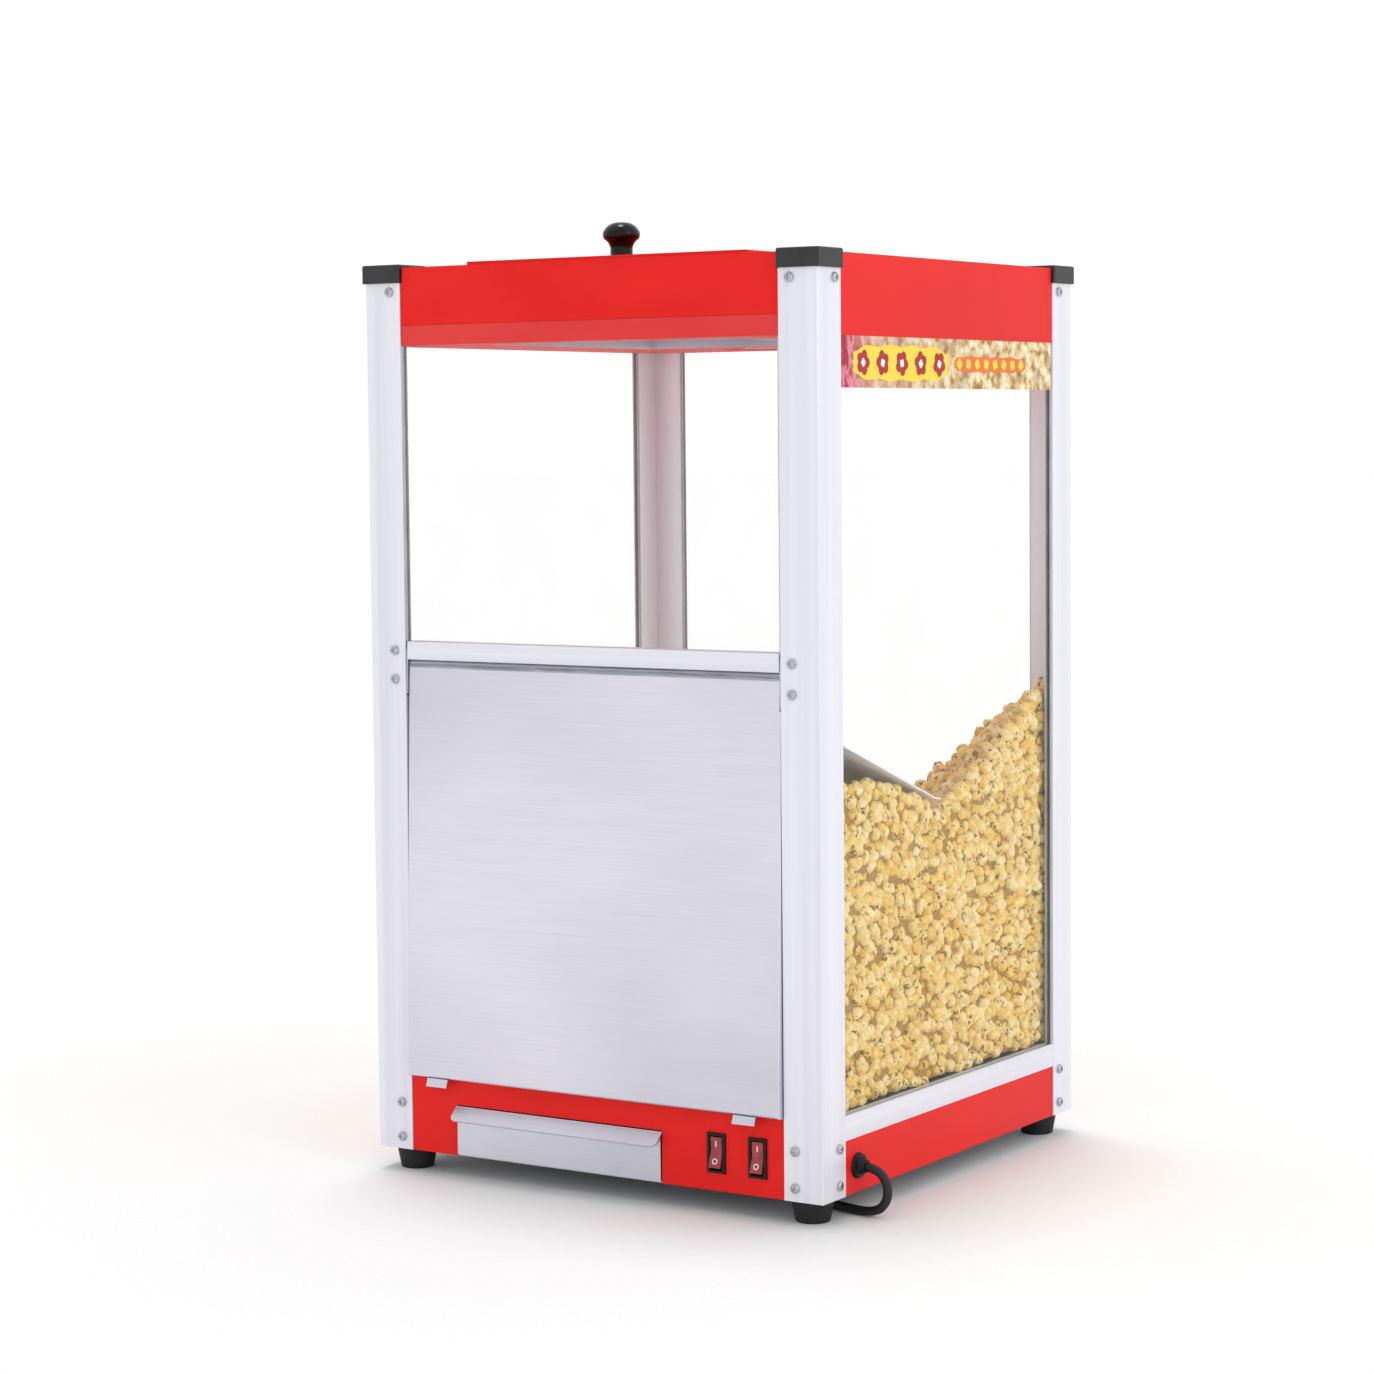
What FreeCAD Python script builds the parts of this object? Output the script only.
"""Counter-top popcorn warming cabinet.

Four aluminium corner posts carry clear panes, a red steel top box with a filling lid, and a red steel
base with a crumb drawer and two rocker switches.  A steel flap hangs from the middle rail at the front.
Millimetres, +Z up.  The origin lies on the floor, under the middle of the cabinet with its drawer lip
and screw heads, and without its mains lead.  The front faces -Y.
"""
import FreeCAD, Part
import math
import os

V = FreeCAD.Vector

# ---- driving dimensions -------------------------------------------------------------------------
WIDTH = 400.0              # over the posts, left to right
DEPTH = 396.0              # over the posts, front to back
FOOT_H = 17.5              # rubber foot, floor to underside of the cabinet
POST_H = 664.5             # corner post length
POST_ARM = 32.5            # width of each face of a post
POST_T = 8.0               # post thickness, outside face to inside face
POST_WALL = 1.8            # wall of the extrusion
CHAMBER_END = 20.5         # end of the hollow in each arm, from the outer corner
SLOT_W = 4.6               # glazing slot in posts and rails
SLOT_DEPTH = 10.0          # slot depth in a post
SHEET = 1.0                # steel sheet
RECESS = 1.0               # red panels stand this far behind the post faces
PANE_T = 3.0               # clear panes
PANE_IN = 2.5              # pane's outer face, behind the post faces
CAP_H = 14.0               # plastic cap on a post
CAP_OVERHANG = 2.0
CAP_SIZE = 35.5

BASE_SIDE_H = 40.0         # red panel at the sides and rear
RAIL_H = 18.4              # aluminium rail above it
BASE_FRONT_H = 62.0        # red panel at the front, its upper edge behind the door
FASCIA_BOTTOM = 617.5      # underside of the top box, above the underside of the base
FASCIA_TOP = 676.0
SEAM = 632.3               # upper edge of the ceiling tray's front flange
SIGN_H = 37.0

MID_RAIL_BOTTOM = 378.9
MID_RAIL_H = 14.3
MID_RAIL_D = 12.0
BRACKET_BOTTOM = 353.0
BRACKET_TOP = 393.0

DOOR_BOTTOM = 59.0         # lower edge of the flap, above the underside of the base
DOOR_GAP = 0.5             # between the flap and each post
DOOR_RETURN = 6.5          # folded edge of the flap
DOOR_BEND = 2.0            # outside radius of its folded edges
CURL_R = 2.9               # rolled upper edge around the hinge rod
ROD_R = 1.6
RUN_CLEARANCE = 0.08       # radial, hinge rod in the rolled edge
TAB_X = 138.0
TAB_W = 19.0

DRAWER_LEFT = -124.0
DRAWER_RIGHT = 61.5
DRAWER_H = 38.5            # drawer face, its lower edge level with the base
DRAWER_LEN = 300.0
LIP_OUT = 9.5              # finger lip, out and down at 45 degrees

SWITCH_X = (110.0, 145.2)
SWITCH_Z = 28.0
BEZEL_W = 15.6
BEZEL_H = 29.6
ROCKER_TILT = 8.0          # degrees either side of level

LID_HALF = 125.0
LID_FRONT = -172.0
LID_BACK = 78.0
LID_TOP = 680.0
OPENING_HALF = 110.0       # filling opening and its chute, inside
OPENING_FRONT = -157.0
OPENING_BACK = 63.0
LID_HINGE_Y = 82.0
LID_HINGE_X = 80.0
LID_HINGE_LEN = 50.0
LEAF_REACH = 22.0
BARREL_R = 2.5
LID_PIN_R = 1.25
KNOB_Y = -145.0
KNOB_H = 25.5
KNOB_R = 14.0

DEFLECTOR_BEND_Z = 337.0   # front bend of the sloping plate
DEFLECTOR_SLOPE = 20.4     # degrees
DEFLECTOR_BACK = -12.0

SCREW_X = 23.0             # screw line, in from the outer face of a post
SCREW_R = 2.0
SCREW_HEAD_R = 3.7
SCREW_HEAD_H = 2.4
SCREW_LEN = 11.5
HOLE_R = 2.1
TOP_SCREW_Z = 657.7
RAIL_SCREW_Z = (363.9, 385.8)
BASE_SCREW_Z = (9.7, 36.5)

FOOT_INSET = 21.0
FOOT_TOP_R = 16.0
FOOT_BOTTOM_R = 12.6

GLAND_Y = -147.0
GLAND_Z = 19.3
CORD_D = 6.8
COIL_R = 37.5              # middle of the coil's turns
COIL_TURNS_WIDE = 3
COIL_LAYERS = 2
COIL_CENTRE = (-62.0, 262.0)
PLUG_R = 18.5              # plug body at its face
PLUG_BACK_R = 14.0
PLUG_BODY = 34.0
PLUG_SLEEVE = 32.0
PLUG_TILT = 7.5            # degrees, so that the tapered body lies along the floor

POPCORN_SKIN = 6.0         # the heap is a closed hollow crust, as heavy as loose popcorn
POPCORN_FALL = 0.8         # slope of the heap, down from each side pane
POPCORN_VALLEY = 262.0     # height of its scooped middle

# ---- derived places -----------------------------------------------------------------------------
HX = WIDTH / 2
HY = DEPTH / 2
Z0 = FOOT_H
IN_X = HX - POST_T                     # inside faces of the posts
IN_Y = HY - POST_T
ARM_X = HX - POST_ARM                  # free edges of the post faces
ARM_Y = HY - POST_ARM
FACE_X = HX - RECESS                   # outer faces of the red panels
FACE_Y = HY - RECESS
PANEL_GAP = 0.3
PANEL_X = ARM_X - PANEL_GAP            # half widths of the panels between the posts
PANEL_Y = ARM_Y - PANEL_GAP
TOP_Z = Z0 + FASCIA_TOP
CEIL_Z = Z0 + FASCIA_BOTTOM
FLOOR_Z = Z0 + BASE_SIDE_H + RAIL_H - 0.9   # upper face of the perforated floor
PIVOT_Y = -HY + 5.6
PIVOT_Z = Z0 + MID_RAIL_BOTTOM - 0.3 - CURL_R
DOOR_LEN = PIVOT_Z - (Z0 + DOOR_BOTTOM)
DOOR_TILT = math.degrees(math.asin((PIVOT_Y + DOOR_RETURN - CURL_R + FACE_Y + 0.3) / DOOR_LEN))
TAB_OUT = 1.2
TAB_DROP = 6.5
LID_TOP_Z = Z0 + LID_TOP
LID_T = 0.8
LID_PIVOT_Z = TOP_Z + BARREL_R + 0.1


# ---- small helpers ------------------------------------------------------------------------------
def box(x0, y0, z0, x1, y1, z1):
    return Part.makeBox(x1 - x0, y1 - y0, z1 - z0, V(x0, y0, z0))


def rod(start, direction, length, radius):
    return Part.makeCylinder(radius, length, V(*start), V(*direction))


def prism(points, direction):
    """A closed outline of 3-D points, swept along a straight direction."""
    corners = [V(*p) for p in points]
    wire = Part.makePolygon(corners + corners[:1])
    return Part.Face(wire).extrude(V(*direction))


def strip_outline(path, thickness):
    """The outline of a bent strip: a flat path and the same path set off to its left."""
    moved = []
    last = len(path) - 1
    for i, (a, b) in enumerate(path):
        before = path[max(i - 1, 0)]
        after = path[min(i + 1, last)]
        first = unit(before, (a, b)) if i > 0 else unit((a, b), after)
        second = unit((a, b), after) if i < last else first
        normal = (-(first[1] + second[1]), first[0] + second[0])
        size = math.hypot(*normal)
        half = (first[0] * second[0] + first[1] * second[1] + 1) / 2
        reach = thickness / math.sqrt(half)
        moved.append((a + normal[0] / size * reach, b + normal[1] / size * reach))
    return path + moved[::-1]


def unit(p, q):
    size = math.hypot(q[0] - p[0], q[1] - p[1])
    return ((q[0] - p[0]) / size, (q[1] - p[1]) / size)


def strip_along_x(path_yz, thickness, x0, x1):
    outline = [(x0, y, z) for y, z in strip_outline(path_yz, thickness)]
    return prism(outline, (x1 - x0, 0, 0))


def strip_along_z(path_xy, thickness, z0, z1):
    outline = [(x, y, z0) for x, y in strip_outline(path_xy, thickness)]
    return prism(outline, (0, 0, z1 - z0))


def cut(shape, tools):
    return shape.cut(Part.Compound(tools)) if tools else shape


def join(shapes):
    return shapes[0].fuse(shapes[1:]).removeSplitter()


def mirror_x(shape):
    return shape.mirror(V(0, 0, 0), V(1, 0, 0))


def mirror_y(shape):
    return shape.mirror(V(0, 0, 0), V(0, 1, 0))


def turned(shape, degrees):
    copy = shape.copy()
    copy.rotate(V(0, 0, 0), V(0, 0, 1), degrees)
    return copy


def rounded(shape, radius, wanted):
    """Fillets the edges whose two ends both satisfy the wanted(point) test."""
    edges = [e for e in shape.Edges if all(wanted(v.Point) for v in e.Vertexes) and len(e.Vertexes) == 2]
    return shape.makeFillet(radius, edges)


def near(a, b):
    return abs(a - b) < 0.01


# ---- corner posts, caps and screws --------------------------------------------------------------
def post_section():
    """Front-left section: an L of hollow arms with a glazing slot in the free edge of each arm."""
    slot_lo = PANE_IN + PANE_T / 2 - SLOT_W / 2
    slot_hi = slot_lo + SLOT_W
    inner = POST_T - POST_WALL
    arm = Part.makeBox(POST_ARM, POST_T, POST_H)
    side = Part.makeBox(POST_T, POST_ARM, POST_H)
    solid = join([arm, side])
    outer_corner = [e for e in solid.Edges if near(e.BoundBox.XMax, 0) and near(e.BoundBox.YMax, 0)]
    solid = solid.makeFillet(1.2, outer_corner)
    ends = [e for e in solid.Edges if near(e.BoundBox.ZLength, POST_H)
            and (near(e.BoundBox.XMin, POST_ARM) or near(e.BoundBox.YMin, POST_ARM))]
    solid = solid.makeFillet(0.5, ends)
    hollow = join([box(POST_WALL, POST_WALL, 0, CHAMBER_END, inner, POST_H),
                   box(POST_WALL, POST_WALL, 0, inner, CHAMBER_END, POST_H)])
    slots = [box(POST_ARM - SLOT_DEPTH, slot_lo, 0, POST_ARM, slot_hi, POST_H),
             box(slot_lo, POST_ARM - SLOT_DEPTH, 0, slot_hi, POST_ARM, POST_H)]
    return cut(solid, [hollow] + slots)


def post_holes(front):
    """Screw holes through both arms, at the heights of the panels behind them."""
    face_heights = [TOP_SCREW_Z, *BASE_SCREW_Z] + (list(RAIL_SCREW_Z) if front else [])
    holes = [rod((SCREW_X, -1, z), (0, 1, 0), POST_T + 2, HOLE_R) for z in face_heights]
    side_heights = [TOP_SCREW_Z, *BASE_SCREW_Z]
    holes += [rod((-1, SCREW_X, z), (1, 0, 0), POST_T + 2, HOLE_R) for z in side_heights]
    return holes


def posts():
    section = post_section()
    front = cut(section, post_holes(True))
    rear = cut(section, post_holes(False))
    for shape in (front, rear):
        shape.translate(V(-HX, -HY, Z0))
    return {"post_front_left": front, "post_front_right": mirror_x(front),
            "post_rear_left": mirror_y(rear), "post_rear_right": mirror_x(mirror_y(rear))}


def post_caps():
    """Hollow moulded caps, each with an L-shaped key that plugs the hollow of its post."""
    low = -CAP_OVERHANG
    high = low + CAP_SIZE
    outer = box(low, low, 0, high, high, CAP_H)
    outer = outer.makeFillet(1.6, [e for e in outer.Edges if e.BoundBox.ZMin > 0.01 or
                                   near(e.BoundBox.ZLength, CAP_H)])
    wall = 3.4
    hollow = box(low + wall + 2, low + wall + 2, -1, high - wall, high - wall, CAP_H - 2.4)
    key_gap = 0.15
    a = POST_WALL + key_gap
    b = POST_T - POST_WALL - key_gap
    key = join([box(a, a, -14, CHAMBER_END - key_gap, b, 4), box(a, a, -14, b, CHAMBER_END - key_gap, 4)])
    cap = join([outer.cut(hollow), key])
    cap.translate(V(-HX, -HY, Z0 + POST_H))
    return Part.Compound([cap, mirror_x(cap), mirror_y(cap), mirror_x(mirror_y(cap))])


def pan_screw(head_point, inward):
    """A pan-head screw: the head's underside at head_point, the shank running inward."""
    head = Part.makeCylinder(SCREW_HEAD_R, SCREW_HEAD_H)
    head = head.makeFillet(1.6, [e for e in head.Edges if near(e.BoundBox.ZMin, SCREW_HEAD_H)])
    cross = [box(-2.1, -0.45, SCREW_HEAD_H - 1.1, 2.1, 0.45, SCREW_HEAD_H + 1),
             box(-0.45, -2.1, SCREW_HEAD_H - 1.1, 0.45, 2.1, SCREW_HEAD_H + 1)]
    head = cut(head, cross)
    shank = Part.makeCylinder(SCREW_R, SCREW_LEN, V(0, 0, 0), V(0, 0, -1))
    screw = join([head, shank])
    screw.Placement = FreeCAD.Placement(V(*head_point), FreeCAD.Rotation(V(0, 0, -1), V(*inward)))
    return screw


def frame_screws():
    screws = []
    seat = 0.05
    for sx in (-1, 1):
        for z in (TOP_SCREW_Z, *BASE_SCREW_Z, *RAIL_SCREW_Z):
            screws.append(pan_screw((sx * (HX - SCREW_X), -HY - seat, Z0 + z), (0, 1, 0)))
        for z in (TOP_SCREW_Z, *BASE_SCREW_Z):
            screws.append(pan_screw((sx * (HX - SCREW_X), HY + seat, Z0 + z), (0, -1, 0)))
            for sy in (-1, 1):
                screws.append(pan_screw((sx * (HX + seat), sy * (HY - SCREW_X), Z0 + z), (-sx, 0, 0)))
    for sx in (-1, 1):
        for sy in (-1, 1):
            screws.append(pan_screw((sx * (HX - FOOT_INSET), sy * (HY - FOOT_INSET), 6.0 - seat), (0, 0, 1)))
    return Part.Compound(screws)


# ---- red sheet panels ---------------------------------------------------------------------------
def panel(half, face, inside, low, high, flange_low, flange_high, top_return):
    """A panel facing -Y: a flat face, folded back beside each post and out again behind it."""
    back = -inside + 0.2
    flange_end = half + POST_ARM - POST_T - 4.0
    face_sheet = box(-half, -face, low, half, -face + SHEET, high)
    shapes = [face_sheet]
    for s in (-1, 1):
        xs = sorted((s * (half - SHEET), s * half))
        shapes.append(box(xs[0], -face, flange_low, xs[1], back + SHEET, flange_high))
        xs = sorted((s * (half - SHEET), s * flange_end))
        shapes.append(box(xs[0], back, flange_low, xs[1], back + SHEET, flange_high))
    if top_return:
        shapes.append(box(-half + SHEET, -face, high - SHEET, half - SHEET, -face + top_return, high))
    return join(shapes)


def screw_holes_y(half_span, heights, inside):
    """Holes for the frame screws through both flanges of a panel that faces -Y."""
    return [rod((s * half_span, -inside - 1, Z0 + z), (0, 1, 0), 4, HOLE_R) for s in (-1, 1) for z in heights]


def top_panel(half, face, inside, low, screw_span):
    """A fascia of the top box, its upper corners cut away beside the post caps."""
    cap_clear = Z0 + POST_H - 0.3
    shape = panel(half, face, inside, low, TOP_Z, low, cap_clear, 12.0)
    notch = half - 1.3
    corners = [box(s * (half + notch) / 2 - (half - notch) / 2, -face - 1, cap_clear,
                   s * (half + notch) / 2 + (half - notch) / 2, -face + 20, TOP_Z + 1) for s in (-1, 1)]
    return cut(shape, corners + screw_holes_y(screw_span, [TOP_SCREW_Z], inside))


def fascias():
    front = top_panel(PANEL_X, FACE_Y, IN_Y, Z0 + SEAM + 0.2, HX - SCREW_X)
    rear = mirror_y(top_panel(PANEL_X, FACE_Y, IN_Y, CEIL_Z, HX - SCREW_X))
    side = top_panel(PANEL_Y, FACE_X, IN_X, CEIL_Z, HY - SCREW_X)
    right = turned(side, 90)
    return {"front_fascia": front, "rear_fascia": rear, "right_fascia": right, "left_fascia": mirror_x(right)}


def base_side(half, face, inside, screw_span):
    shape = panel(half, face, inside, Z0, Z0 + BASE_SIDE_H, Z0 + 1.3, Z0 + BASE_SIDE_H, 12.0)
    return cut(shape, screw_holes_y(screw_span, BASE_SCREW_Z, inside))


def base_front():
    """Front base panel with the drawer mouth, open at the bottom, and the two switch holes."""
    shape = panel(PANEL_X, FACE_Y, IN_Y, Z0, Z0 + BASE_FRONT_H, Z0 + 1.3, Z0 + BASE_SIDE_H, 10.0)
    shape = cut(shape, screw_holes_y(HX - SCREW_X, BASE_SCREW_Z, IN_Y))
    gap = 0.8
    mouth = box(DRAWER_LEFT - gap, -FACE_Y - 1, Z0 - 1, DRAWER_RIGHT + gap, -FACE_Y + 3, Z0 + DRAWER_H + gap)
    holes = [box(x - 6.7, -FACE_Y - 1, Z0 + SWITCH_Z - 13.6, x + 6.7, -FACE_Y + 3, Z0 + SWITCH_Z + 13.6)
             for x in SWITCH_X]
    return cut(shape, [mouth] + holes)


def base_panels():
    rear = mirror_y(base_side(PANEL_X, FACE_Y, IN_Y, HX - SCREW_X))
    side = turned(base_side(PANEL_Y, FACE_X, IN_X, HY - SCREW_X), 90)
    gland_hole = rod((FACE_X - 4, GLAND_Y, Z0 + GLAND_Z), (1, 0, 0), 8, 7.1)
    return {"base_front_panel": base_front(), "base_rear_panel": rear,
            "base_right_panel": side.cut(gland_hole), "base_left_panel": mirror_x(side)}


def plus_plate(z0, z1, x_reach, y_front, y_back, corner_x, corner_y):
    """A plate that fills the plan between the panels and leaves the four posts free."""
    clear = SHEET + PANEL_GAP
    return join([box(-PANEL_X + clear, y_front, z0, PANEL_X - clear, y_back, z1),
                 box(-x_reach, -PANEL_Y + clear, z0, x_reach, PANEL_Y - clear, z1),
                 box(-corner_x, -corner_y, z0, corner_x, corner_y, z1)])


def ceiling_tray():
    """Underside of the top box: its front edge is folded up into the band below the front fascia."""
    clear = 0.2
    corner = 1.5
    plate = plus_plate(CEIL_Z, CEIL_Z + SHEET, FACE_X - SHEET - clear, -FACE_Y, FACE_Y - SHEET - clear,
                       IN_X - corner, IN_Y - corner)
    band = box(-PANEL_X, -FACE_Y, CEIL_Z, PANEL_X, -FACE_Y + SHEET, Z0 + SEAM)
    tray = join([plate, band])
    fold = [e for e in tray.Edges if near(e.BoundBox.YMax, -FACE_Y) and near(e.BoundBox.ZMax, CEIL_Z)]
    tray = tray.makeFillet(0.8, fold)
    around = SHEET + 0.2
    opening = box(-OPENING_HALF - around, OPENING_FRONT - around, CEIL_Z - 1,
                  OPENING_HALF + around, OPENING_BACK + around, CEIL_Z + 2)
    lamp_window = box(-80, 108, CEIL_Z - 1, 80, 160, CEIL_Z + 2)
    return cut(tray, [opening, lamp_window])


def top_plate():
    """Stainless top plate, level with the fascias, around the filling opening."""
    clear = SHEET + 12.0 - SHEET + 0.2
    plate = join([box(-PANEL_X + 2, -FACE_Y + clear, TOP_Z - SHEET, PANEL_X - 2, FACE_Y - clear, TOP_Z),
                  box(-FACE_X + clear, -PANEL_Y + 2, TOP_Z - SHEET, FACE_X - clear, PANEL_Y - 2, TOP_Z)])
    opening = box(-OPENING_HALF, OPENING_FRONT, TOP_Z - 2, OPENING_HALF, OPENING_BACK, TOP_Z + 1)
    return plate.cut(opening)


def fill_chute():
    """Open duct from the top plate to the ceiling, with a flange spot-welded under the plate."""
    top = TOP_Z - SHEET - 0.1
    outer = box(-OPENING_HALF - SHEET, OPENING_FRONT - SHEET, CEIL_Z,
                OPENING_HALF + SHEET, OPENING_BACK + SHEET, top)
    flange = box(-OPENING_HALF - 9, OPENING_FRONT - 9, top - SHEET, OPENING_HALF + 9, OPENING_BACK + 9, top)
    inside = box(-OPENING_HALF, OPENING_FRONT, CEIL_Z - 1, OPENING_HALF, OPENING_BACK, top + 1)
    return join([outer, flange]).cut(inside)


# ---- lid and its hinges -------------------------------------------------------------------------
def lid():
    skirt_bottom = TOP_Z + 0.4
    outer = box(-LID_HALF, LID_FRONT, skirt_bottom, LID_HALF, LID_BACK, LID_TOP_Z)
    outer = outer.makeFillet(4.0, [e for e in outer.Edges if near(e.BoundBox.ZLength, LID_TOP_Z - skirt_bottom)])
    outer = outer.makeFillet(0.7, [e for e in outer.Edges if near(e.BoundBox.ZMin, LID_TOP_Z)])
    inside = box(-LID_HALF + LID_T, LID_FRONT + LID_T, skirt_bottom - 1,
                 LID_HALF - LID_T, LID_BACK - LID_T, LID_TOP_Z - LID_T)
    stud_hole = rod((0, KNOB_Y, skirt_bottom), (0, 0, 1), 10, 2.6)
    return cut(outer, [inside, stud_hole])


def lid_knob():
    """Turned black knob: a straight neck that flares into a domed head, with a moulded-in stud."""
    z = LID_TOP_Z

    def at(radius, share):
        return V(radius, KNOB_Y, z + share * KNOB_H)

    profile = Part.Wire([
        Part.makeLine(at(0, 0), at(8.4, 0)),
        Part.makeLine(at(8.4, 0), at(8.4, 0.22)),
        Part.Arc(at(8.4, 0.22), at(9.4, 0.38), at(12.4, 0.5)).toShape(),
        Part.Arc(at(12.4, 0.5), at(KNOB_R, 0.64), at(12.9, 0.78)).toShape(),
        Part.Arc(at(12.9, 0.78), at(9.2, 0.93), at(4.0, 1.0)).toShape(),
        Part.makeLine(at(4.0, 1.0), at(2.6, 0.95)),
        Part.makeLine(at(2.6, 0.95), at(0, 0.95)),
        Part.makeLine(at(0, 0.95), at(0, 0))])
    body = Part.Face(profile).revolve(V(0, KNOB_Y, 0), V(0, 0, 1), 360)
    return join([body, rod((0, KNOB_Y, z + 1), (0, 0, -1), 4.2, 2.5)])


def knuckle(x0, x1):
    barrel = rod((x0, LID_HINGE_Y, LID_PIVOT_Z), (1, 0, 0), x1 - x0, BARREL_R)
    return barrel.cut(rod((x0 - 1, LID_HINGE_Y, LID_PIVOT_Z), (1, 0, 0), x1 - x0 + 2, LID_PIN_R + 0.05))


def lid_hinges():
    """Two butt hinges: outer knuckles on the top plate, the middle knuckle on the lid."""
    fixed, moving, pins = [], [], []
    third = LID_HINGE_LEN / 3
    gap = 0.3
    for centre in (-LID_HINGE_X, LID_HINGE_X):
        x0 = centre - LID_HINGE_LEN / 2
        low = box(x0, LID_HINGE_Y + 0.2, TOP_Z + 0.02, x0 + LID_HINGE_LEN, LID_HINGE_Y + LEAF_REACH, TOP_Z + 1.02)
        clear = rod((x0 + third - gap, LID_HINGE_Y, LID_PIVOT_Z), (1, 0, 0), third + 2 * gap, BARREL_R + 0.4)
        bore = rod((x0 - 1, LID_HINGE_Y, LID_PIVOT_Z), (1, 0, 0), LID_HINGE_LEN + 2, LID_PIN_R + 0.05)
        ends = [knuckle(x0, x0 + third - gap), knuckle(x0 + 2 * third + gap, x0 + LID_HINGE_LEN)]
        fixed.append(cut(join([low] + ends), [clear, bore]))
        high = box(x0, LID_HINGE_Y - LEAF_REACH, LID_TOP_Z + 0.02, x0 + LID_HINGE_LEN, LID_HINGE_Y, LID_TOP_Z + 1.02)
        clears = [rod((x - gap, LID_HINGE_Y, LID_PIVOT_Z), (1, 0, 0), third + gap, BARREL_R + 0.4)
                  for x in (x0, x0 + 2 * third + gap)]
        moving.append(cut(join([high, knuckle(x0 + third, x0 + 2 * third)]), clears + [bore]))
        pins.append(rod((x0 - 0.8, LID_HINGE_Y, LID_PIVOT_Z), (1, 0, 0), LID_HINGE_LEN + 1.6, LID_PIN_R))
    return {"lid_hinge_fixed_leaves": Part.Compound(fixed), "lid_hinge_lid_leaves": Part.Compound(moving),
            "lid_hinge_pins": Part.Compound(pins)}


# ---- middle rail, its brackets and the flap door ------------------------------------------------
def mid_rail():
    half = ARM_X - 1.8
    front = -HY + 0.8
    low = Z0 + MID_RAIL_BOTTOM
    high = low + MID_RAIL_H
    bar = box(-half, front, low, half, front + MID_RAIL_D, high)
    bar = bar.makeFillet(1.6, [e for e in bar.Edges if near(e.BoundBox.YMax, front) and e.BoundBox.XLength > 1])
    slot_y = -HY + PANE_IN + PANE_T / 2
    slot = box(-half - 1, slot_y - SLOT_W / 2, high - 6.3, half + 1, slot_y + SLOT_W / 2, high + 1)
    hollow = box(-half - 1, front + POST_WALL, low + 1.6, half + 1, front + MID_RAIL_D - POST_WALL, high - 8.1)
    return cut(bar, [slot, hollow])


def rail_bracket():
    """Right-hand bracket: a leg beside the rail that carries the rod, and a flange behind the post."""
    low = Z0 + BRACKET_BOTTOM
    high = Z0 + BRACKET_TOP
    leg_x = ARM_X - 1.5
    leg = box(leg_x, -HY + 1.5, low, leg_x + 1.2, -IN_Y + 1.3, high)
    flange = box(leg_x, -IN_Y + 0.1, low, HX - POST_T - 5, -IN_Y + 1.3, high)
    holes = [rod((HX - SCREW_X, -IN_Y - 1, Z0 + z), (0, 1, 0), 4, HOLE_R) for z in RAIL_SCREW_Z]
    holes.append(rod((leg_x - 1, PIVOT_Y, PIVOT_Z), (1, 0, 0), 4, ROD_R + 0.05))
    pane_corner = box(leg_x - 1, -HY, low + 34.5, leg_x + 3, -HY + PANE_IN + PANE_T + 0.3, high + 1)
    return cut(join([leg, flange]), holes + [pane_corner])


def hung(shape):
    """Turns a shape drawn hanging straight down from the rod to the flap's resting tilt."""
    copy = shape.copy()
    copy.translate(V(0, PIVOT_Y, PIVOT_Z))
    copy.rotate(V(0, PIVOT_Y, PIVOT_Z), V(1, 0, 0), -DOOR_TILT)
    return copy


def door():
    """The flap: a folded tray with its upper edge rolled round the rod, drawn hanging straight down."""
    half = ARM_X - DOOR_GAP
    neck_half = ARM_X - 2.2
    neck = PIVOT_Z - (Z0 + BRACKET_BOTTOM) + 1.5
    front = -CURL_R
    tray = box(-half, front, -DOOR_LEN, half, front + DOOR_RETURN, -neck)
    soft = [e for e in tray.Edges if near(e.BoundBox.YMax, front) and not near(e.BoundBox.ZMin, -neck)]
    tray = tray.makeFillet(DOOR_BEND, soft)
    inside = box(-half + SHEET, front + SHEET, -DOOR_LEN + SHEET, half - SHEET, front + DOOR_RETURN + 1, -neck + 1)
    soft = [e for e in inside.Edges if near(e.BoundBox.YMax, front + SHEET) and not near(e.BoundBox.ZMin, -neck + 1)]
    inside = inside.makeFillet(DOOR_BEND - SHEET, soft)
    tray = tray.cut(inside)
    collar = box(-neck_half, front, -neck - 1, neck_half, front + SHEET, 0)
    roll = rod((-neck_half, 0, 0), (1, 0, 0), 2 * neck_half, CURL_R)
    bore = rod((-neck_half - 1, 0, 0), (1, 0, 0), 2 * neck_half + 2, ROD_R + RUN_CLEARANCE)
    return hung(join([tray, collar, roll]).cut(bore))


def door_tabs():
    """Two finger tabs under the flap: flat under its lower fold, then bent down."""
    drop = -DOOR_LEN - 0.05
    path = [(-CURL_R - TAB_OUT, drop - TAB_DROP), (-CURL_R + 0.6, drop - SHEET), (2.6, drop - SHEET)]
    tabs = []
    for x in (-TAB_X, TAB_X):
        tab = strip_along_x(path, SHEET, x - TAB_W / 2, x + TAB_W / 2)
        tabs.append(hung(tab))
    return Part.Compound(tabs)


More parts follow.
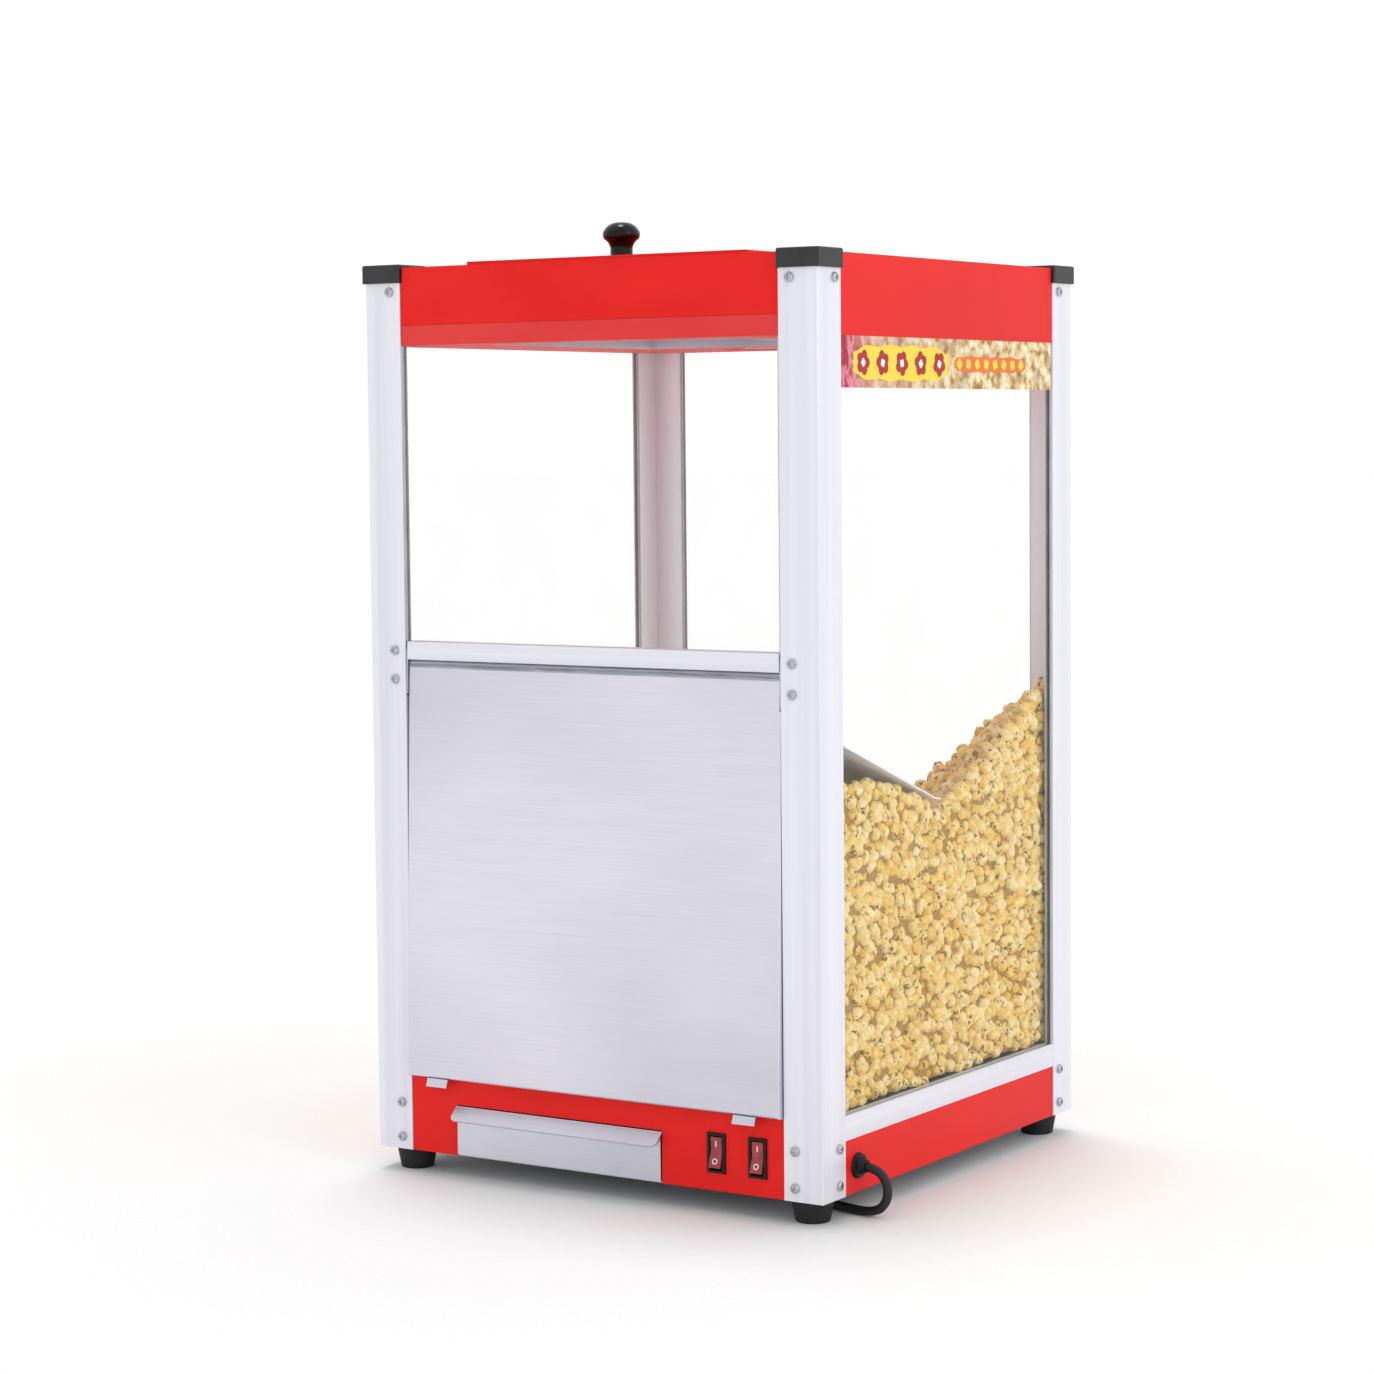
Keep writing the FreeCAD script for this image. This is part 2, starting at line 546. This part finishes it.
# ---- panes, gaskets, rails and sign -------------------------------------------------------------
def panes():
    inset = 1.0
    half_x = ARM_X + SLOT_DEPTH - inset
    half_y = ARM_Y + SLOT_DEPTH - inset
    top = CEIL_Z - 0.4
    low = Z0 + BASE_SIDE_H + RAIL_H - 7.5
    front_low = Z0 + MID_RAIL_BOTTOM + MID_RAIL_H - 5.0
    outer_x = HX - PANE_IN
    outer_y = HY - PANE_IN
    return {"front_pane": box(-half_x, -outer_y, front_low, half_x, -outer_y + PANE_T, top),
            "rear_pane": box(-half_x, outer_y - PANE_T, low, half_x, outer_y, top),
            "right_pane": box(outer_x - PANE_T, -half_y, low, outer_x, half_y, top),
            "left_pane": box(-outer_x, -half_y, low, -outer_x + PANE_T, half_y, top)}


def gasket_channel(length):
    """U-section rubber along +Z: its back in the slot, its lips 1.6 mm proud of the slot, facing +X."""
    width = SLOT_W - 0.1
    depth = SLOT_DEPTH - 0.1 + 1.6
    grip = PANE_T + 0.1
    channel = box(0, -width / 2, 0, depth, width / 2, length)
    return channel.cut(box(0.8, -grip / 2, -1, depth + 1, grip / 2, length + 1))


def rubber_strips():
    """Glazing channels in every post slot, shorter ones in the rails, and fillers beside the door."""
    mid_x = HX - PANE_IN - PANE_T / 2
    mid_y = HY - PANE_IN - PANE_T / 2
    top = CEIL_Z - 0.4
    rail_top = Z0 + BASE_SIDE_H + RAIL_H + 0.1
    front_low = Z0 + MID_RAIL_BOTTOM + MID_RAIL_H + 0.1
    back_x = ARM_X + SLOT_DEPTH - 0.1
    back_y = ARM_Y + SLOT_DEPTH - 0.1
    strips = []
    for y, low in ((-mid_y, front_low), (mid_y, rail_top)):
        upright = gasket_channel(top - low)
        upright.translate(V(-back_x, y, low))
        strips += [upright, mirror_x(upright)]
    for s in (-1, 1):
        upright = turned(gasket_channel(top - rail_top), 90)
        upright.translate(V(s * mid_x, -back_y, rail_top))
        strips += [upright, mirror_y(upright)]
    filler = box(-back_x, -mid_y - SLOT_W / 2 + 0.05, Z0 + BASE_FRONT_H, -ARM_X - 0.2,
                 -mid_y + SLOT_W / 2 - 0.05, Z0 + BRACKET_BOTTOM - 1)
    return Part.Compound(strips + [filler, mirror_x(filler)])


def bottom_rail(half, outer):
    """Rail on top of a base panel, facing -Y: slot for the pane above, hollow below."""
    low = Z0 + BASE_SIDE_H + 0.05
    high = Z0 + BASE_SIDE_H + RAIL_H
    face = -outer + 0.3
    bar = box(-half, face, low, half, face + POST_T, high)
    bar = bar.makeFillet(0.6, [e for e in bar.Edges if near(e.BoundBox.YMax, face) and e.BoundBox.XLength > 1])
    slot_y = -outer + PANE_IN + PANE_T / 2
    slot = box(-half - 1, slot_y - PANE_T / 2 - 0.3, high - 8.5, half + 1, slot_y + PANE_T / 2 + 0.3, high + 1)
    hollow = box(-half - 1, face + 1.6, low + 1.6, half + 1, face + POST_T - 1.6, high - 10.2)
    return cut(bar, [slot, hollow])


def bottom_rails():
    rear = mirror_y(bottom_rail(ARM_X - 0.2, HY))
    right = turned(bottom_rail(ARM_Y - 0.2, HX), 90)
    return {"rear_rail": rear, "right_rail": right, "left_rail": mirror_x(right)}


def sign_strip():
    """Printed plastic strip on the right-hand pane, under the fascia."""
    half = ARM_Y - 1.9
    outer = HX - PANE_IN
    return box(outer + 0.05, -half, CEIL_Z - SIGN_H, outer + 1.45, half, CEIL_Z - 0.1)


# ---- inside of the cabinet ----------------------------------------------------------------------
def deflector_plate():
    """Sheet behind the middle rail that hangs straight down, then slopes back into the cabinet."""
    y0 = -HY + 0.8 + MID_RAIL_D + 0.1
    bend = Z0 + DEFLECTOR_BEND_Z
    drop = (DEFLECTOR_BACK - y0) * math.tan(math.radians(DEFLECTOR_SLOPE))
    path = [(y0, Z0 + MID_RAIL_BOTTOM + MID_RAIL_H - 1), (y0, bend), (DEFLECTOR_BACK, bend - drop),
            (DEFLECTOR_BACK + 8, bend - drop - 1.0)]
    half = IN_X - 1.5
    return strip_along_x(path, SHEET, -half, half)


def popcorn_floor():
    """Perforated floor: rows of long slots let crumbs fall into the drawer and warm air rise."""
    clear = 0.4
    z1 = FLOOR_Z
    plate = box(-IN_X + clear, -FACE_Y + 12.0, z1 - SHEET, IN_X - clear, IN_Y - clear, z1)
    posts_clear = [box(sx * HX - POST_ARM - 2, sy * HY - POST_T - 2, z1 - 2,
                       sx * HX + POST_ARM + 2, sy * HY + POST_T + 2, z1 + 1) for sx in (-1, 1) for sy in (-1, 1)]
    slots = []
    length, width, pitch_x, pitch_y = 46.0, 5.0, 15.0, 58.0
    for i in range(-11, 12):
        for j in range(-2, 4):
            x = i * pitch_x
            y = j * pitch_y - 29.0
            slots.append(box(x - width / 2, y - length / 2, z1 - 2, x + width / 2, y + length / 2, z1 + 1))
    return cut(plate, posts_clear + slots)


def heap_side(surface, x_pane, low, high_left, high_right):
    """The right-hand part of a heap: its surface at the pane falls away at POPCORN_FALL towards the middle."""
    outline = [(x_pane, y, z) for y, z in [(surface[0][0], low)] + surface + [(surface[-1][0], low)]]
    bank = prism(outline, (-x_pane, 0, -x_pane * POPCORN_FALL))
    inside = box(high_left, surface[0][0], low, high_right, surface[-1][0], 400)
    return bank.common(inside)


def popcorn():
    """The heap: banked against the side panes, scooped low along the middle, and highest at the rear."""
    half = IN_X - 0.8
    low = FLOOR_Z + 0.3
    plate_y = -HY + 0.9 + MID_RAIL_D
    slope = math.tan(math.radians(DEFLECTOR_SLOPE))

    def under_plate(y):
        return Z0 + DEFLECTOR_BEND_Z - (y - plate_y) * slope - 3.0

    front = -IN_Y + 7.5
    back = IN_Y - 0.8
    surface = [(front, 312), (-150, 316), (-92, 316), (-60, under_plate(-60)), (-20, under_plate(-20)),
               (DEFLECTOR_BACK + 9.5, under_plate(DEFLECTOR_BACK) - 6), (DEFLECTOR_BACK + 12, 292),
               (40, 303), (75, 318), (99, 331), (133, 351), (168, 369), (back, 377)]
    bank = heap_side(surface, half, low, 0, half)
    bed = box(-half, front, low, half, back, POPCORN_VALLEY)
    heap = join([bed, bank, mirror_x(bank)])
    step = Z0 + BASE_SIDE_H + RAIL_H + 0.4
    against = HX - PANE_IN - PANE_T - 0.3
    edge = ARM_Y - 3
    bulge = [(against, y, z) for y, z in [(-edge, step), (-edge, 314)] +
             [(y, z) for y, z in surface if abs(y) < edge - 1] + [(edge, 366), (edge, step)]]
    bulge = prism(bulge, (half - 1 - against, 0, 0))
    heap = join([heap, bulge, mirror_x(bulge)])
    skin = POPCORN_SKIN
    under = [(y, z - 1.4 * skin) for y, z in surface]
    under[0] = (front + skin, under[0][1])
    under[-1] = (back - skin, under[-1][1])
    core = heap_side(under, half - skin, low + skin, 0, half - skin)
    bed_core = box(-half + skin, front + skin, low + skin, half - skin, back - skin, POPCORN_VALLEY - skin)
    return heap.cut(join([bed_core, core, mirror_x(core)]))


def base_pan():
    clear = 0.3
    corner = 1.5
    pan = plus_plate(Z0, Z0 + SHEET, FACE_X - SHEET - clear, -FACE_Y + SHEET + clear, FACE_Y - SHEET - clear,
                     IN_X - corner, IN_Y - corner)
    holes = [rod((sx * (HX - FOOT_INSET), sy * (HY - FOOT_INSET), Z0 - 1), (0, 0, 1), 4, HOLE_R)
             for sx in (-1, 1) for sy in (-1, 1)]
    return cut(pan, holes)


def crumb_drawer():
    """Open tray with a flat face and a finger lip bent out and down along the face's upper edge."""
    low = Z0 + SHEET + 0.4
    face_y = -HY
    side = 1.5
    wall = 0.8
    face = box(DRAWER_LEFT, face_y, low, DRAWER_RIGHT, face_y + SHEET, Z0 + DRAWER_H)
    x0 = DRAWER_LEFT + side
    x1 = DRAWER_RIGHT - side
    y1 = face_y + DRAWER_LEN
    tray_top = Z0 + DRAWER_H - 6
    tray = box(x0, face_y + 0.5, low, x1, y1, tray_top)
    tray = tray.cut(box(x0 + wall, face_y + SHEET, low + wall, x1 - wall, y1 - wall, tray_top + 1))
    top = Z0 + DRAWER_H
    path = [(face_y + SHEET, top), (face_y + 0.4, top), (face_y - LIP_OUT, top - LIP_OUT)]
    lip = strip_along_x(path, SHEET, DRAWER_LEFT - 1.2, DRAWER_RIGHT + 1.2)
    tip = face_y - LIP_OUT
    corners = [e for e in lip.Edges if e.BoundBox.YMax < tip + 1.0 and e.BoundBox.XLength < 0.01
               and e.Length < 1.1]
    lip = lip.makeFillet(5.0, corners)
    return join([face, tray, lip])


def drawer_runners():
    """Two angles on the base pan that guide the drawer's sides."""
    z = Z0 + SHEET + 0.02
    x_left = DRAWER_LEFT + 1.5 - 0.6
    x_right = DRAWER_RIGHT - 1.5 + 0.6
    y0 = -HY + 4.0
    y1 = y0 + DRAWER_LEN + 6
    runners = []
    for x, s in ((x_left, -1), (x_right, 1)):
        wall = sorted((x, x + s * 1.2))
        foot = sorted((x, x + s * 11.0))
        upright = box(wall[0], y0, z, wall[1], y1, z + 20)
        runners.append(join([upright, box(foot[0], y0, z, foot[1], y1, z + 1.2)]))
    return Part.Compound(runners)


# ---- electrics ----------------------------------------------------------------------------------
def switch_housing(x):
    """Snap-in rocker housing: a bezel in front of the panel and a hollow body behind it."""
    z = Z0 + SWITCH_Z
    front = -FACE_Y - 1.8
    bezel = box(x - BEZEL_W / 2, front, z - BEZEL_H / 2, x + BEZEL_W / 2, -FACE_Y - 0.05, z + BEZEL_H / 2)
    bezel = bezel.makeFillet(0.8, [e for e in bezel.Edges if e.BoundBox.YMax < front + 0.01])
    body = box(x - 6.5, -FACE_Y - 0.2, z - 13.4, x + 6.5, -FACE_Y + 20, z + 13.4)
    well = box(x - 5.2, front - 1, z - 12.8, x + 5.2, -FACE_Y + 9, z + 12.8)
    pivot = rod((x - 6.1, -FACE_Y + 2.0, z), (1, 0, 0), 12.2, 1.05)
    return cut(join([bezel, body]), [well, pivot])


def rocker(x):
    """Rocker cap with a shallow valley in front and a pivot pin, tilted with its upper end pressed in."""
    z = Z0 + SWITCH_Z
    y = -FACE_Y + 2.0
    outline = [(y - 3.0, z), (y - 5.0, z + 11.4), (y - 1.4, z + 11.4), (y + 4.0, z + 3.5), (y + 4.0, z - 3.5),
               (y - 1.4, z - 11.4), (y - 5.0, z - 11.4)]
    cap = prism([(x - 4.9, a, b) for a, b in outline], (9.8, 0, 0))
    cap = cap.makeFillet(0.5, [e for e in cap.Edges if e.BoundBox.YMax < y - 2.9])
    cap = join([cap, rod((x - 5.9, y, z), (1, 0, 0), 11.8, 1.0)])
    cap.rotate(V(x, y, z), V(1, 0, 0), -ROCKER_TILT)
    return cap


def switch_terminals():
    blades = []
    for x in SWITCH_X:
        for dz in (-8, 0, 8):
            blades.append(box(x - 2.4, -FACE_Y + 20.05, Z0 + SWITCH_Z + dz - 0.4,
                              x + 2.4, -FACE_Y + 28, Z0 + SWITCH_Z + dz + 0.4))
    return Part.Compound(blades)


def heater_element():
    """U-shaped tubular element across the rear of the base."""
    z = Z0 + 32
    r = 4.0
    x0, x1, y0, y1 = -150.0, 130.0, 120.0, 160.0
    bend = (y1 - y0) / 2
    path = Part.Wire([Part.makeLine(V(x0, y0, z), V(x1, y0, z)),
                      Part.Arc(V(x1, y0, z), V(x1 + bend, y0 + bend, z), V(x1, y1, z)).toShape(),
                      Part.makeLine(V(x1, y1, z), V(x0, y1, z))])
    section = Part.Wire([Part.makeCircle(r, V(x0, y0, z), V(1, 0, 0))])
    return path.makePipeShell([section], True, False)


def heater_brackets():
    """Saddles that hold the element above the pan."""
    z = Z0 + 32
    saddles = []
    for x in (-110.0, 90.0):
        plate = box(x, 108, Z0 + SHEET + 0.02, x + 1.5, 172, z + 8)
        foot = box(x, 108, Z0 + SHEET + 0.02, x + 14, 172, Z0 + SHEET + 1.5)
        holes = [rod((x - 1, y, z), (1, 0, 0), 5, 4.05) for y in (120.0, 160.0)]
        saddles.append(cut(join([plate, foot]), holes))
    return Part.Compound(saddles)


def thermostat():
    """Disc thermostat under the floor, between the heater's legs, with its two terminals."""
    top = FLOOR_Z - SHEET - 0.05
    disc = rod((165, 140, top), (0, 0, -1), 8, 8.5)
    flange = box(165 - 17, 134, top - 1, 165 + 17, 146, top)
    blades = [box(165 + s * 4 - 0.4, 137, top - 16, 165 + s * 4 + 0.4, 143, top - 7) for s in (-1, 1)]
    return join([disc, flange] + blades)


def terminal_block():
    z = Z0 + SHEET + 0.05
    block = box(120, -80, z, 160, -58, z + 17)
    ways = [rod((127 + i * 13, -81, z + 7), (0, 1, 0), 24, 2.4) for i in range(3)]
    screws = [rod((127 + i * 13, y, z + 12), (0, 0, 1), 6, 2.0) for i in range(3) for y in (-74, -64)]
    return cut(block, ways + screws)


def lamp():
    """Tubular lamp lying in its holder above a frosted window in the ceiling."""
    z = CEIL_Z + 30
    y = 134.0
    holder = join([rod((-96, y, z), (1, 0, 0), 34, 13), box(-100, y - 14, CEIL_Z + SHEET + 0.05, -95, y + 14, z + 12)])
    holder = holder.cut(rod((-84, y, z), (1, 0, 0), 30, 8.2))
    glass = join([rod((-58, y, z), (1, 0, 0), 74, 12.5), Part.makeSphere(12.5, V(16, y, z)),
                  rod((-82, y, z), (1, 0, 0), 26, 7.0)])
    window = box(-84, 104, CEIL_Z + SHEET + 0.05, 84, 164, CEIL_Z + SHEET + 3)
    notch = box(-110, 110, CEIL_Z, -83.7, 160, CEIL_Z + 10)
    return {"lamp_holder": holder, "lamp_bulb": glass, "lamp_lens": window.cut(notch)}


# ---- feet ---------------------------------------------------------------------------------------
def rubber_feet():
    feet = []
    for sx in (-1, 1):
        for sy in (-1, 1):
            x = sx * (HX - FOOT_INSET)
            y = sy * (HY - FOOT_INSET)
            cone = Part.makeCone(FOOT_BOTTOM_R, FOOT_TOP_R, FOOT_H - 0.05, V(x, y, 0))
            cone = cone.makeFillet(1.2, [e for e in cone.Edges if e.BoundBox.ZMax < 0.01])
            well = rod((x, y, -1), (0, 0, 1), 1 + 6.0, SCREW_HEAD_R + 1.0)
            hole = rod((x, y, -1), (0, 0, 1), FOOT_H + 2, HOLE_R)
            feet.append(cut(cone, [well, hole]))
    return Part.Compound(feet)


# ---- mains lead ---------------------------------------------------------------------------------
def cord_gland():
    """Snap-in strain relief in the right-hand base panel: flange, tapered sleeve and barbed tail."""
    centre = (FACE_X, GLAND_Y, Z0 + GLAND_Z)
    x = FACE_X + 0.05
    flange = Part.makeCone(9.6, 8.6, 3.0, V(x, centre[1], centre[2]), V(1, 0, 0))
    sleeve = Part.makeCone(6.4, 4.7, 5.2, V(x + 2.9, centre[1], centre[2]), V(1, 0, 0))
    tail = rod((x - 14, centre[1], centre[2]), (1, 0, 0), 14.2, 6.9)
    bore = rod((x - 15, centre[1], centre[2]), (1, 0, 0), 35, CORD_D / 2 - 0.05)
    return join([flange, sleeve, tail]).cut(bore)


def cord_route():
    """The lead from inside the gland: out, a half turn down, back under the base and out behind it."""
    x = FACE_X + 8.3
    top = Z0 + GLAND_Z
    radius = (top - CORD_D / 2 - 0.2) / 2
    middle = top - radius
    corner = radius / math.cos(math.pi / 8)
    turn = [(x + corner * math.cos(a), GLAND_Y, middle + corner * math.sin(a))
            for a in (3 * math.pi / 8, math.pi / 8, -math.pi / 8, -3 * math.pi / 8)]
    low = CORD_D / 2 + 0.2
    end_x = COIL_CENTRE[0] + COIL_R + CORD_D
    floor = [(188, -144, low), (146, -128, low), (96, -84, low), (66, -20, low), (50, 50, low), (24, 118, low),
             (-2, 172, low), (-15, 212, low), (end_x, COIL_CENTRE[1] - 17, low)]
    return [(x - 6.7, GLAND_Y, top)] + turn + floor


def smooth_tube(points, diameter):
    """Straight runs joined by tangent arcs, each as large as its two runs allow."""
    p = [V(*q) for q in points]
    edges, radii = [], []
    start = p[0]
    for a, b, c in zip(p, p[1:], p[2:]):
        into = (b - a).normalize()
        out = (c - b).normalize()
        half = math.acos(max(-1.0, min(1.0, into.dot(out)))) / 2
        reach = 0.45 * min((b - a).Length, (c - b).Length)
        radius = reach / math.tan(half)
        radii.append(round(radius, 1))
        begin = b - into * reach
        end = b + out * reach
        inward = (out - into).normalize()
        middle = b + inward * (radius / math.cos(half) - radius)
        edges.append(Part.makeLine(start, begin))
        edges.append(Part.Arc(begin, middle, end).toShape())
        start = end
    edges.append(Part.makeLine(start, p[-1]))
    path = Part.Wire(edges)
    section = Part.Wire([Part.makeCircle(diameter / 2, p[0], p[1] - p[0])])
    tube = path.makePipeShell([section], True, False)
    expected = math.pi * diameter ** 2 / 4 * path.Length
    print("cord radii", radii, "length", round(path.Length, 1), "volume ratio", round(tube.Volume / expected, 4))
    return tube


def cord_coil():
    """Outer shape of the wound lead: a ring with rounded corners."""
    inner = COIL_R - COIL_TURNS_WIDE * CORD_D / 2
    outer = COIL_R + COIL_TURNS_WIDE * CORD_D / 2
    height = COIL_LAYERS * CORD_D
    centre = V(COIL_CENTRE[0], COIL_CENTRE[1], 0.2)
    ring = Part.makeCylinder(outer, height, centre).cut(Part.makeCylinder(inner, height, centre))
    return ring.makeFillet(CORD_D / 2 - 0.3, [e for e in ring.Edges if e.Length > 2 * math.pi * inner - 1])


def cord_plug():
    """Round two-pin plug with a tapered sleeve, lying beside the coil and tilted onto its rim."""
    body = Part.makeCone(PLUG_R, PLUG_BACK_R, PLUG_BODY)
    body = body.makeFillet(2.0, [e for e in body.Edges if e.BoundBox.ZLength < 0.01])
    sleeve = Part.makeCone(6.6, CORD_D / 2 + 0.9, PLUG_SLEEVE, V(0, 0, PLUG_BODY - 0.5))
    pins = [rod((0, s * 9.5, 0.5), (0, 0, -1), 19.5, 2.4) for s in (-1, 1)]
    pins = [p.makeFillet(1.2, [e for e in p.Edges if e.BoundBox.ZMax < -18]) for p in pins]
    plug = join([body, sleeve] + pins)
    plug.rotate(V(0, 0, 0), V(0, 1, 0), 90 + PLUG_TILT)
    reach = PLUG_BODY + PLUG_SLEEVE - 0.5
    tilt = math.radians(PLUG_TILT)
    end_x = COIL_CENTRE[0] - 17.0
    height = PLUG_R * math.cos(tilt) + 0.1
    plug.translate(V(end_x - reach * math.cos(tilt), COIL_CENTRE[1] + COIL_R + CORD_D, height))
    return plug


# ---- export -------------------------------------------------------------------------------------
def all_parts():
    parts = {}
    parts.update(posts())
    parts.update(fascias())
    parts.update(base_panels())
    parts.update(lid_hinges())
    parts.update(panes())
    parts.update(bottom_rails())
    parts.update(lamp())
    bracket = rail_bracket()
    parts.update({
        "post_caps": post_caps(), "frame_screws": frame_screws(), "ceiling_tray": ceiling_tray(),
        "top_plate": top_plate(), "fill_chute": fill_chute(), "lid": lid(), "lid_knob": lid_knob(),
        "mid_rail": mid_rail(), "rail_bracket_right": bracket, "rail_bracket_left": mirror_x(bracket),
        "door_hinge_rod": rod((-ARM_X + 0.1, PIVOT_Y, PIVOT_Z), (1, 0, 0), 2 * ARM_X - 0.2, ROD_R),
        "door": door(), "door_tabs": door_tabs(), "rubber_strips": rubber_strips(),
        "sign_strip": sign_strip(), "deflector_plate": deflector_plate(), "popcorn_floor": popcorn_floor(),
        "popcorn": popcorn(), "base_pan": base_pan(), "crumb_drawer": crumb_drawer(),
        "drawer_runners": drawer_runners(), "light_switch_housing": switch_housing(SWITCH_X[0]),
        "heat_switch_housing": switch_housing(SWITCH_X[1]), "light_rocker": rocker(SWITCH_X[0]),
        "heat_rocker": rocker(SWITCH_X[1]), "switch_terminals": switch_terminals(),
        "heater_element": heater_element(), "heater_brackets": heater_brackets(),
        "thermostat": thermostat(), "terminal_block": terminal_block(), "rubber_feet": rubber_feet(),
        "cord_gland": cord_gland(), "mains_cord": smooth_tube(cord_route(), CORD_D),
        "cord_coil": cord_coil(), "cord_plug": cord_plug(),
    })
    return parts


def main():
    """The model is drawn about the middle of the posts, then moved to the middle of the whole outline."""
    os.makedirs("parts", exist_ok=True)
    parts = all_parts()
    front = parts["crumb_drawer"].optimalBoundingBox(False, False).YMin
    rear = parts["frame_screws"].optimalBoundingBox(False, False).YMax
    shift = -(front + rear) / 2
    print("moved back by", round(shift, 3))
    for name, shape in parts.items():
        moved = shape.copy()
        moved.translate(V(0, shift, 0))
        moved.exportStep(f"parts/{name}.step")
        print(f"{name:24s} solids {len(moved.Solids):2d} valid {moved.isValid()} volume {moved.Volume:10.0f}")


main()
